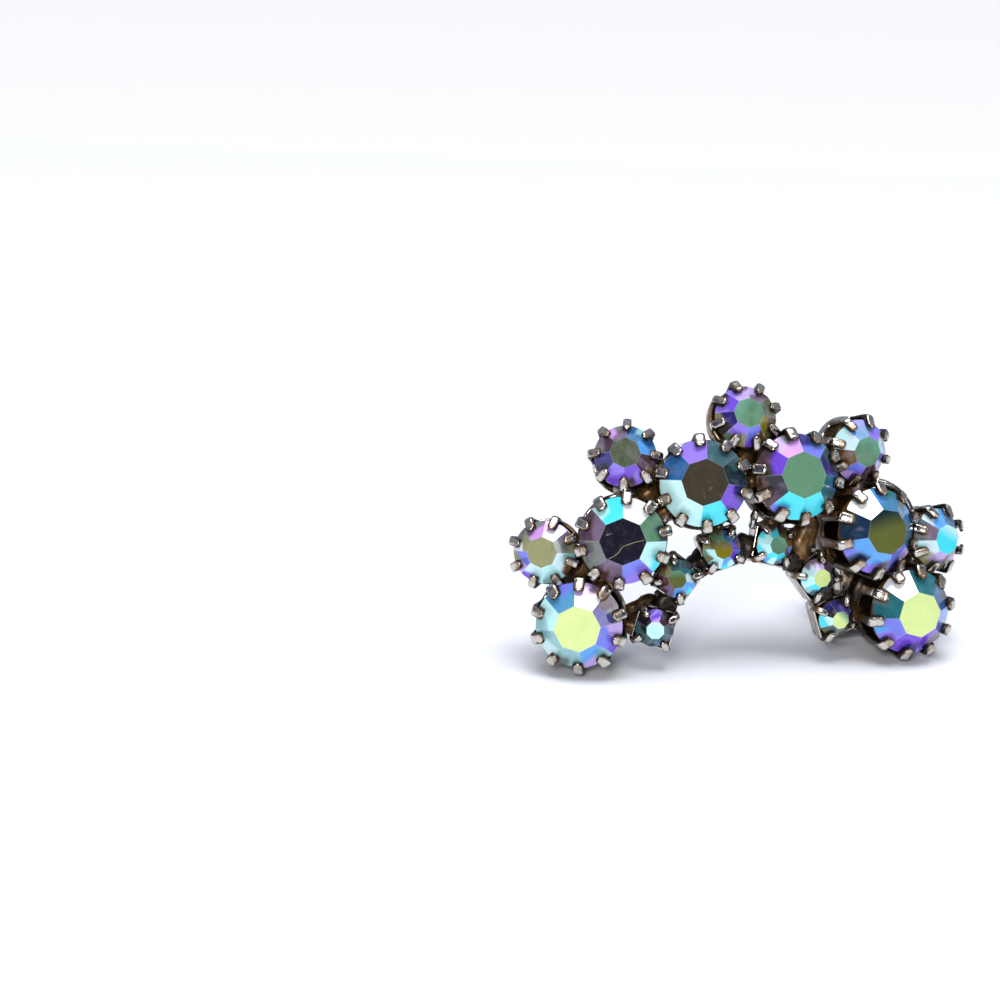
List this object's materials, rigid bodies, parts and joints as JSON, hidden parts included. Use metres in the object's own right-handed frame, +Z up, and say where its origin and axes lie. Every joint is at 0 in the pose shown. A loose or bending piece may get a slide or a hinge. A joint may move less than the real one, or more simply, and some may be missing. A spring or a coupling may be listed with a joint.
{
  "type": "clip-on earring",
  "caption": "Clip-on earring: an arch of claw-set round stones between smaller ones, soldered into one openwork frame, with a lobe clip behind.",
  "frame": {"origin": "middle of the earring's box, on the surface that it stands on", "axes": "+Z up; the stones face -Y, leaning back; +X to the right as seen from the front, where the clip sits"},
  "size_m": [0.0362, 0.0134, 0.0212],
  "materials": {
    "setting_metal": "worn silver plate with brown tarnish in the recesses",
    "clip_metal": "worn silver plate",
    "large_stones": "foiled glass with an iridescent coating",
    "outer_stones": "foiled glass with an iridescent coating",
    "inner_stones": "foiled glass with an iridescent coating"
  },
  "bodies": {
    "root": {"setting_frame": "setting_metal", "ear_clip": "clip_metal", "large_stone_1": "large_stones", "large_stone_2": "large_stones", "large_stone_3": "large_stones", "large_stone_4": "large_stones", "large_stone_5": "large_stones", "large_stone_6": "large_stones", "outer_stone_1": "outer_stones", "outer_stone_2": "outer_stones", "outer_stone_3": "outer_stones", "outer_stone_4": "outer_stones", "outer_stone_5": "outer_stones", "inner_stone_1": "inner_stones", "inner_stone_2": "inner_stones", "inner_stone_3": "inner_stones", "inner_stone_4": "inner_stones", "inner_stone_5": "inner_stones", "inner_stone_6": "inner_stones"}
  },
  "joints": []
}
